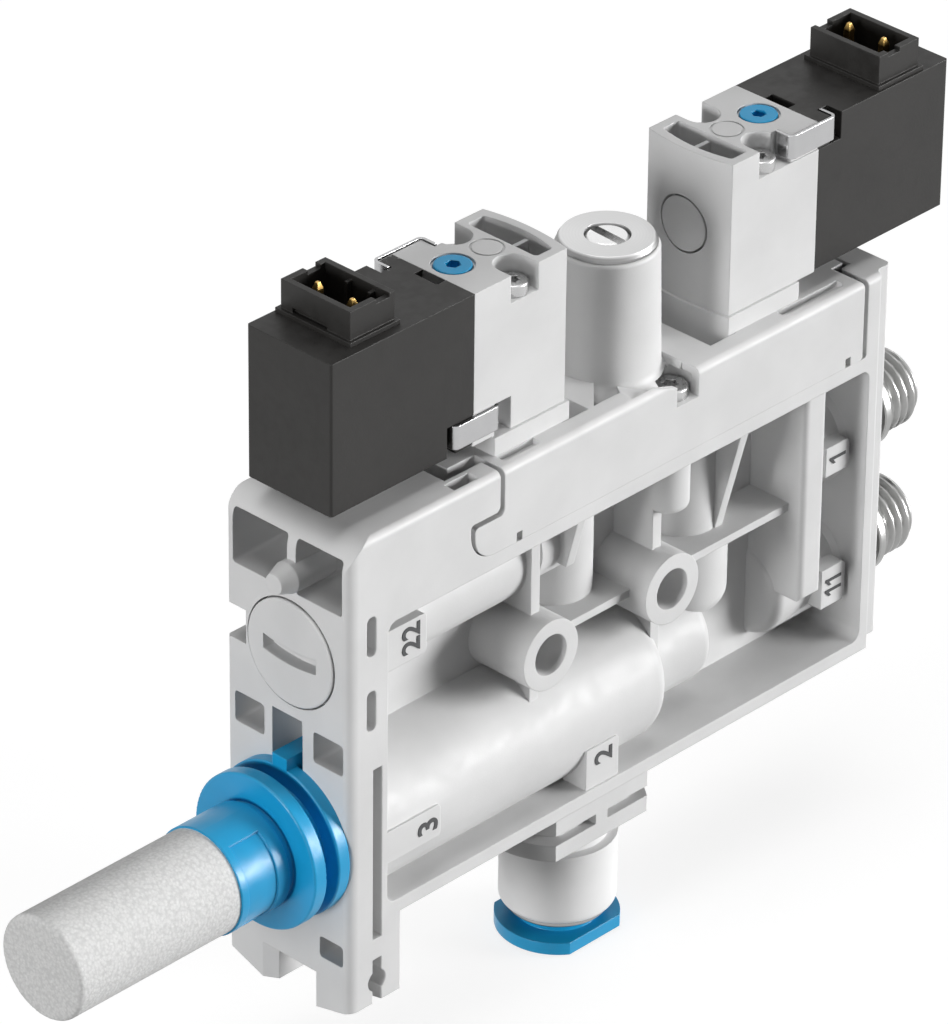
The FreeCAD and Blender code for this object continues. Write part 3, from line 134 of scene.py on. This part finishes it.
class Shading:
    """One node material: a principled shader with helpers that wire its noise, bump and edges."""

    def __init__(self, name, roughness=0.5, metallic=0.0, **sockets):
        self.material = bpy.data.materials.new(name)
        self.material.use_nodes = True
        self.tree = self.material.node_tree
        self.shader = self.tree.nodes["Principled BSDF"]
        self.shader.inputs["Roughness"].default_value = roughness
        self.shader.inputs["Metallic"].default_value = metallic
        for key, value in sockets.items():
            self.shader.inputs[key.replace("_", " ")].default_value = value
        self.place = self.add("ShaderNodeTexCoord").outputs["Object"]
        self.normal = None

    def add(self, kind, **settings):
        made = self.tree.nodes.new(kind)
        for key, value in settings.items():
            name = key.replace("_", " ")
            if name in made.inputs:
                made.inputs[name].default_value = value
            else:
                setattr(made, key, value)
        return made

    def link(self, source, target):
        self.tree.links.new(source, target)

    def noise(self, grain, detail=2.0, roughness=0.5, stretch=None):
        """Noise whose grain is about that many millimetres across."""
        made = self.add("ShaderNodeTexNoise", Scale=1/(grain*MM), Detail=detail, Roughness=roughness)
        place = self.place
        if stretch:
            mapping = self.add("ShaderNodeMapping", Scale=stretch)
            self.link(place, mapping.inputs["Vector"])
            place = mapping.outputs["Vector"]
        self.link(place, made.inputs["Vector"])
        return made.outputs["Fac"]

    def span(self, value, low, high, source=(0.35, 0.65)):
        """Maps a noise value to a range."""
        made = self.add("ShaderNodeMapRange")
        made.inputs["From Min"].default_value = source[0]
        made.inputs["From Max"].default_value = source[1]
        made.inputs["To Min"].default_value = low
        made.inputs["To Max"].default_value = high
        self.link(value, made.inputs["Value"])
        return made.outputs["Result"]

    def blend(self, factor, dark, light):
        """Colour that runs from dark to light with the factor."""
        made = self.add("ShaderNodeMix", data_type="RGBA")
        made.inputs[6].default_value = (*dark, 1)
        made.inputs[7].default_value = (*light, 1)
        self.link(factor, made.inputs[0])
        return made.outputs[2]

    def over(self, factor, under, colour):
        """A flat colour over another colour output, by the factor."""
        made = self.add("ShaderNodeMix", data_type="RGBA")
        made.inputs[7].default_value = (*colour, 1)
        self.link(under, made.inputs[6])
        self.link(factor, made.inputs[0])
        return made.outputs[2]

    def paint(self, colour):
        self.link(colour, self.shader.inputs["Base Color"])

    def rough(self, value):
        self.link(value, self.shader.inputs["Roughness"])

    def edges(self, radius):
        """Softens the edges' shading over that many millimetres."""
        made = self.add("ShaderNodeBevel", samples=6, Radius=radius*MM)
        self.normal = made.outputs["Normal"]
        self.link(self.normal, self.shader.inputs["Normal"])

    def bump(self, height, depth, strength=1.0):
        made = self.add("ShaderNodeBump", Strength=strength, Distance=depth*MM)
        self.link(height, made.inputs["Height"])
        if self.normal:
            self.link(self.normal, made.inputs["Normal"])
        self.normal = made.outputs["Normal"]
        self.link(self.normal, self.shader.inputs["Normal"])


def moulded(name, colour, roughness=0.5, grain=0.16, depth=0.010, contrast=0.035, edge=0.14, gloss=0.42):
    """Injection-moulded plastic: fine spark-eroded texture and a faint cloudiness."""
    made = Shading(name, roughness=roughness, Specular_IOR_Level=gloss)
    cloud = made.noise(7.0, detail=3)
    dark = tuple(c*(1-contrast) for c in colour)
    light = tuple(min(1, c*(1+contrast)) for c in colour)
    made.paint(made.blend(made.span(cloud, 0, 1), dark, light))
    made.rough(made.span(made.noise(1.3), roughness-0.05, roughness+0.06))
    made.edges(edge)
    made.bump(made.noise(grain, detail=2), depth, 0.6)
    return made.material


def sintered(name):
    """Porous sleeve: bonded beads, with shade painted into the gaps between them."""
    made = Shading(name, roughness=0.85, Specular_IOR_Level=0.25)
    beads = made.add("ShaderNodeTexVoronoi", Scale=1/(0.34*MM))
    made.link(made.place, beads.inputs["Vector"])
    # painted shade, darker in the gaps between the beads
    pore_shade = made.span(beads.outputs["Distance"], 0, 1, source=(0.35, 0.75))
    speck = made.span(made.noise(0.22, detail=2), 0, 1, source=(0.42, 0.72))
    base = made.blend(speck, (0.66, 0.66, 0.655), (0.74, 0.74, 0.735))
    made.paint(made.over(made.span(pore_shade, 0, 0.35, source=(0, 1)), base, (0.44, 0.44, 0.44)))
    made.bump(made.noise(0.28, detail=3, roughness=0.7), 0.07, 0.8)
    made.bump(beads.outputs["Distance"], -0.05, 0.5)
    return made.material


def metal(name, colour, roughness, wear=0.02, edge=0.08, stretch=None, grain=0.5, depth=0.0004):
    """Plated or turned metal with slight variation of its polish."""
    made = Shading(name, roughness=roughness, metallic=1.0)
    dark = tuple(c*0.95 for c in colour)
    made.paint(made.blend(made.span(made.noise(2.2, detail=3), 0, 1), dark, colour))
    made.rough(made.span(made.noise(grain, stretch=stretch), roughness-wear, roughness+wear))
    if edge:
        made.edges(edge)
    made.bump(made.noise(grain, stretch=stretch), depth, 0.5)
    return made.material


def faced(name, centre, colour, roughness):
    """Metal turned on a lathe: fine rings round a vertical axis, and a dark reflection painted on the rim
    below the face.
    """
    made = Shading(name, roughness=roughness, metallic=1.0, Anisotropic=0.35)
    mapping = made.add("ShaderNodeMapping", vector_type="POINT")
    mapping.inputs["Location"].default_value = tuple(-c*MM for c in centre)
    made.link(made.place, mapping.inputs["Vector"])
    rings = made.add("ShaderNodeTexWave", wave_type="RINGS", rings_direction="Z", Scale=1/(0.9*MM),
                     Distortion=0.3)
    made.link(mapping.outputs["Vector"], rings.inputs["Vector"])
    dark = tuple(c*0.96 for c in colour)
    face = made.blend(rings.outputs["Fac"], dark, colour)
    split = made.add("ShaderNodeSeparateXYZ")
    made.link(mapping.outputs["Vector"], split.inputs["Vector"])
    # painted dark reflection: the rim below the face turns darker
    rim = made.span(split.outputs["Z"], 1, 0, source=(-BUSH_PAINTED_RIM_REFLECTION[1]*MM, -BUSH_PAINTED_RIM_REFLECTION[0]*MM))
    made.paint(made.over(rim, face, tuple(c*0.45 for c in colour)))
    made.rough(made.span(rings.outputs["Fac"], roughness-0.03, roughness+0.03, source=(0, 1)))
    made.edges(0.05)
    made.bump(rings.outputs["Fac"], 0.0006, 0.5)
    return made.material


def rubber(name):
    """Dark rubber of the seals."""
    made = Shading(name, roughness=0.62)
    made.paint(made.blend(made.noise(0.8), (0.018, 0.018, 0.018), (0.034, 0.034, 0.033)))
    made.bump(made.noise(0.2), 0.01, 0.4)
    return made.material


def ink(name):
    """Dark marking colour of the port numbers."""
    made = Shading(name, roughness=0.6)
    made.paint(made.blend(made.noise(0.3), (0.035, 0.036, 0.038), (0.06, 0.061, 0.063)))
    made.bump(made.noise(0.15), 0.004, 0.4)
    return made.material


finish = {
    "housing_plastic": moulded("MouldedGrey", (0.65, 0.65, 0.65)),
    "coil_plastic": moulded("MouldedCharcoal", (0.015, 0.0141, 0.0131), roughness=0.46, contrast=0.10,
                            edge=0.12, gloss=0.30),
    "blue_plastic": moulded("MouldedBlue", (0.008, 0.310, 0.590), roughness=0.34, contrast=0.05, depth=0.005),
    "porous_white": sintered("SinteredWhite"),
    "white_plastic": moulded("MouldedWhite", (0.82, 0.82, 0.82), roughness=0.36, depth=0.004),
    "contact_gold": metal("PlatedGold", (0.62, 0.40, 0.13), 0.30),
    "bright_metal": metal("PlatedNickel", (0.37, 0.37, 0.365), 0.33, edge=0),
    "spring_steel": metal("SpringSteel", (0.50, 0.50, 0.505), 0.24, stretch=(1, 1, 12)),
    "core_steel": metal("GroundSteel", (0.56, 0.56, 0.57), 0.30),
    "brass": metal("TurnedBrass", (0.72, 0.53, 0.24), 0.28),
    "seal_rubber": rubber("SealRubber"),
}
faced_metal = faced("FacedMetal", (BUSH_X, 0, BUSH_TOP_Z), (0.64, 0.64, 0.64), 0.36)
screw_metal = metal("ScrewMetal", (0.54, 0.54, 0.54), 0.28, depth=0.0006)
polished = metal("PolishedMetal", (0.84, 0.84, 0.84), 0.24, depth=0.0004)
number_ink = ink("NumberInk")
own_finish = {"flow_bush": faced_metal, "adjusting_screw": polished, "plate_screws": screw_metal,
              "valve_screws": screw_metal}


def dress(piece, material):
    """Gives the piece that one material."""
    piece.data.materials.clear()
    piece.data.materials.append(material)


for subpart in frame["record"]["subparts"]:
    dress(nodes[subpart["node"]], own_finish.get(subpart["node"], finish[subpart["material_slot"]]))


# Pieces

def grid_piece(name, rings, closed_ends=True):
    """Mesh through rings of points, all with the same count, closed round and at the ends."""
    mesh = bmesh.new()
    made = [[mesh.verts.new(p) for p in ring] for ring in rings]
    count = len(rings[0])
    for low, high in zip(made, made[1:]):
        for i in range(count):
            mesh.faces.new((low[i], low[(i+1) % count], high[(i+1) % count], high[i]))
    if closed_ends:
        mesh.faces.new(list(reversed(made[0])))
        mesh.faces.new(made[-1])
    bmesh.ops.recalc_face_normals(mesh, faces=mesh.faces)
    data = bpy.data.meshes.new(name)
    mesh.to_mesh(data)
    mesh.free()
    data.shade_smooth()
    data.set_sharp_from_angle(angle=math.radians(38))
    piece = bpy.data.objects.new(name, data)
    bpy.context.scene.collection.objects.link(piece)
    return piece


def thread_height(turns):
    """Height of a rounded V thread, 0 at the root and 1 at the crest."""
    phase = abs((turns % 1.0)*2-1)
    return min(1.0, max(0.0, (phase-0.14)/0.66))


def nipple(name, z):
    """Supply nipple with its real thread, bored through."""
    stations = [(NIPPLE_FLANGE_X-0.3, NIPPLE_BORE_RADIUS, 0), (NIPPLE_FLANGE_X-0.3, NIPPLE_NECK_RADIUS, 0),
                (NIPPLE_COLLAR[0]-0.25, NIPPLE_NECK_RADIUS, 0), (NIPPLE_COLLAR[0], NIPPLE_NECK_RADIUS+0.2, 0),
                (NIPPLE_COLLAR[0], NIPPLE_COLLAR_RADIUS-NIPPLE_EDGE, 0),
                (NIPPLE_COLLAR[0]+NIPPLE_EDGE, NIPPLE_COLLAR_RADIUS, 0),
                (NIPPLE_COLLAR[1]-NIPPLE_EDGE, NIPPLE_COLLAR_RADIUS, 0),
                (NIPPLE_COLLAR[1], NIPPLE_COLLAR_RADIUS-NIPPLE_EDGE, 0),
                (NIPPLE_COLLAR[1], NIPPLE_ROOT_RADIUS, 0),
                (NIPPLE_COLLAR[1]+THREAD_GAP-0.05, NIPPLE_ROOT_RADIUS, 0)]
    start = NIPPLE_COLLAR[1]+THREAD_GAP
    length = NIPPLE_END_X-0.1-start
    count = int(length/THREAD_PITCH*THREAD_STEPS)
    for i in range(count+1):
        x = start+length*i/count
        fade = min(1.0, (x-start)/0.5, (NIPPLE_END_X-x)/0.55)
        stations.append((x, NIPPLE_ROOT_RADIUS, max(0.0, fade)))
    stations += [(NIPPLE_END_X, NIPPLE_ROOT_RADIUS-0.1, 0),
                 (NIPPLE_END_X, NIPPLE_BORE_RADIUS+NIPPLE_BORE_CHAMFER, 0),
                 (NIPPLE_END_X-NIPPLE_BORE_CHAMFER, NIPPLE_BORE_RADIUS, 0)]
    depth = NIPPLE_CREST_RADIUS-NIPPLE_ROOT_RADIUS
    rings = []
    for x, radius, fade in stations:
        ring = []
        for i in range(THREAD_SIDES):
            turn = i/THREAD_SIDES
            reach = radius+depth*fade*thread_height(x/THREAD_PITCH-turn)
            angle = 2*math.pi*turn
            ring.append(Vector((x, reach*math.cos(angle), z+reach*math.sin(angle)))*MM)
        rings.append(ring)
    rings.append([point.copy() for point in rings[0]])
    piece = grid_piece(name, rings, closed_ends=False)
    mesh = bmesh.new()
    mesh.from_mesh(piece.data)
    bmesh.ops.remove_doubles(mesh, verts=mesh.verts, dist=1e-7)
    bmesh.ops.recalc_face_normals(mesh, faces=mesh.faces)
    mesh.to_mesh(piece.data)
    mesh.free()
    dress(piece, finish["bright_metal"])
    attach(piece, "body")
    return piece


for level, height in NIPPLE_Z.items():
    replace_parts(nipple(f"supply_nipple_{level}_threaded", height), f"supply_nipple_{level}")


def figures(name, text, size):
    """Flat mesh of the figures in the XY plane, centred, with a little thickness."""
    if set(text) == {"1"}:
        mesh = bmesh.new()
        height = size*FIGURE_HEIGHT*MM
        for i in range(len(text)):
            shift = (i-(len(text)-1)/2)*FIGURE_STEP
            outline = [mesh.verts.new(((u+shift)*height, (v-0.5)*height, 0)) for u, v in FIGURE_ONE]
            face = mesh.faces.new(outline)
            lifted = bmesh.ops.extrude_face_region(mesh, geom=[face])
            bmesh.ops.translate(mesh, vec=(0, 0, INK_HEIGHT*MM),
                                verts=[v for v in lifted["geom"] if isinstance(v, bmesh.types.BMVert)])
        bmesh.ops.recalc_face_normals(mesh, faces=mesh.faces)
        data = bpy.data.meshes.new(name)
        mesh.to_mesh(data)
        mesh.free()
        return data
    curve = bpy.data.curves.new(name, "FONT")
    curve.body = text
    curve.size = size*MM
    curve.extrude = INK_HEIGHT*MM
    curve.offset = 0.05*MM
    curve.align_x = "CENTER"
    curve.align_y = "CENTER"
    curve.resolution_u = 6
    shape = bpy.data.objects.new(name+"_text", curve)
    bpy.context.scene.collection.objects.link(shape)
    bpy.context.view_layer.update()
    data = bpy.data.meshes.new_from_object(shape.evaluated_get(bpy.context.evaluated_depsgraph_get()))
    bpy.data.objects.remove(shape)
    return data


def number(name, text, size, centre_x, centre_z, face_y):
    """Port number as a thin mark on its plate, read upwards as on the object."""
    data = figures(name, text, size)
    data.name = name
    piece = bpy.data.objects.new(name, data)
    bpy.context.scene.collection.objects.link(piece)
    along = Vector((0, 0, 1))
    up = Vector((-1, 0, 0))
    out = Vector((0, -1, 0))
    place = Matrix((along, up, out)).transposed().to_4x4()
    place.translation = Vector((centre_x, face_y, centre_z))*MM
    data.transform(place)
    dress(piece, number_ink)
    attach(piece, "body")
    return piece


for port_number in PORT_NUMBERS:
    number(*port_number)


def sleeve():
    """Sintered sleeve with a grainy surface and a slightly uneven rim."""
    axis = Vector((0, 0, SLEEVE_Z))
    radii = (0.4, 0.8, 1.2, 1.6, 2.0, 2.4, 2.8, 3.2, 3.6, 4.0, SLEEVE_RADIUS-SLEEVE_EDGE)
    profile = [(SLEEVE_X[0], r) for r in radii]
    for i in range(1, 5):
        angle = math.pi/2*i/4
        profile.append((SLEEVE_X[0]+SLEEVE_EDGE*(1-math.cos(angle)),
                        SLEEVE_RADIUS-SLEEVE_EDGE+SLEEVE_EDGE*math.sin(angle)))
    start = SLEEVE_X[0]+SLEEVE_EDGE
    for i in range(1, SLEEVE_STEPS+1):
        profile.append((start+(SLEEVE_X[1]-start)*i/SLEEVE_STEPS, SLEEVE_RADIUS))
    profile.append((SLEEVE_X[1], SLEEVE_RADIUS-1.5))
    rings = []
    for x, radius in profile:
        ring = []
        for i in range(SLEEVE_SIDES):
            angle = 2*math.pi*i/SLEEVE_SIDES
            out = Vector((0, math.cos(angle), math.sin(angle)))
            point = Vector((x, 0, 0))+axis+out*radius
            grain = noise.noise(point*3.2)*0.6+noise.noise(point*7.5)*0.4
            inward = SLEEVE_GRAIN*(abs(grain)+0.15)
            point -= out*inward
            if radius < SLEEVE_RADIUS-0.01:
                point.x += inward
            ring.append(point*MM)
        rings.append(ring)
    piece = grid_piece("silencer_sleeve_grain", rings)
    piece.data.set_sharp_from_angle(angle=math.radians(80))
    dress(piece, finish["porous_white"])
    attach(piece, "body")
    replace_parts(piece, "silencer_sleeve")


sleeve()


# Floor, light and camera

def plain_rays(tree):
    """1 for camera, glossy and transmission rays, which see the white stage, and 0 for others."""
    path = tree.nodes.new("ShaderNodeLightPath")
    seen = tree.nodes.new("ShaderNodeMath")
    seen.operation = "MAXIMUM"
    tree.links.new(path.outputs["Is Camera Ray"], seen.inputs[0])
    tree.links.new(path.outputs["Is Glossy Ray"], seen.inputs[1])
    through = tree.nodes.new("ShaderNodeMath")
    through.operation = "MAXIMUM"
    tree.links.new(seen.outputs[0], through.inputs[0])
    tree.links.new(path.outputs["Is Transmission Ray"], through.inputs[1])
    return through.outputs[0]


def stage_material():
    """White floor that still takes the object's shadow."""
    made = Shading("StageWhite", roughness=0.9, Specular_IOR_Level=0.0)
    made.paint(made.blend(made.noise(400.0), (0.25, 0.25, 0.25), (0.27, 0.27, 0.27)))
    glow = made.add("ShaderNodeMath", operation="MULTIPLY")
    glow.inputs[1].default_value = FLOOR_GLOW
    made.link(plain_rays(made.tree), glow.inputs[0])
    made.shader.inputs["Emission Color"].default_value = (1, 1, 1, 1)
    made.link(glow.outputs[0], made.shader.inputs["Emission Strength"])
    return made.material


def floor(z):
    """Flat floor at that height, part of the stage and not of the object."""
    mesh = bmesh.new()
    bmesh.ops.create_grid(mesh, x_segments=1, y_segments=1, size=FLOOR_HALF_SIZE)
    data = bpy.data.meshes.new("floor")
    mesh.to_mesh(data)
    mesh.free()
    piece = bpy.data.objects.new("floor", data)
    piece.location = (0, 0, z)
    bpy.context.scene.collection.objects.link(piece)
    dress(piece, stage_material())


def world():
    """White surroundings for the camera and reflections, with little light of their own."""
    made = bpy.data.worlds.new("Studio")
    bpy.context.scene.world = made
    made.use_nodes = True
    tree = made.node_tree
    background = tree.nodes["Background"]
    strength = tree.nodes.new("ShaderNodeMapRange")
    strength.inputs["To Min"].default_value = AMBIENT
    strength.inputs["To Max"].default_value = 1.0
    tree.links.new(plain_rays(tree), strength.inputs["Value"])
    tree.links.new(strength.outputs["Result"], background.inputs["Strength"])
    background.inputs["Color"].default_value = (1, 1, 1, 1)


def lamp(name, towards, strength, spread):
    """Soft sun; towards points from the object to the light."""
    data = bpy.data.lights.new(name, "SUN")
    data.energy = strength
    data.angle = math.radians(spread)
    made = bpy.data.objects.new(name, data)
    made.rotation_mode = "QUATERNION"
    made.rotation_quaternion = Vector(towards).normalized().to_track_quat("Z", "Y")
    bpy.context.scene.collection.objects.link(made)


def camera():
    """Camera at the photograph's place, turned by azimuth, elevation and roll."""
    data = bpy.data.cameras.new("Camera")
    data.lens = CAMERA_LENS
    data.sensor_width = 36
    data.sensor_fit = "AUTO"
    azimuth, elevation, roll = (math.radians(v) for v in (CAMERA_AZIMUTH, CAMERA_ELEVATION, CAMERA_ROLL))
    right = Vector((math.cos(azimuth), math.sin(azimuth), 0))
    back = Vector((math.sin(azimuth)*math.cos(elevation), -math.cos(azimuth)*math.cos(elevation),
                   math.sin(elevation)))
    up = back.cross(right)
    side = right*math.cos(roll)+up*math.sin(roll)
    top = up*math.cos(roll)-right*math.sin(roll)
    place = Matrix((side, top, back)).transposed().to_4x4()
    place.translation = Vector(CAMERA_PLACE)*MM
    made = bpy.data.objects.new("Camera", data)
    made.matrix_world = place
    data.clip_start = 0.05
    data.clip_end = 20
    bpy.context.scene.collection.objects.link(made)
    bpy.context.scene.camera = made


bpy.context.scene.view_settings.view_transform = "Standard"
floor(cad_low.z-FLOOR_GAP*MM)
world()
for lamp_name, (direction, energy, softness) in LAMPS.items():
    lamp(lamp_name, direction, energy, softness)
camera()

bpy.context.view_layer.update()
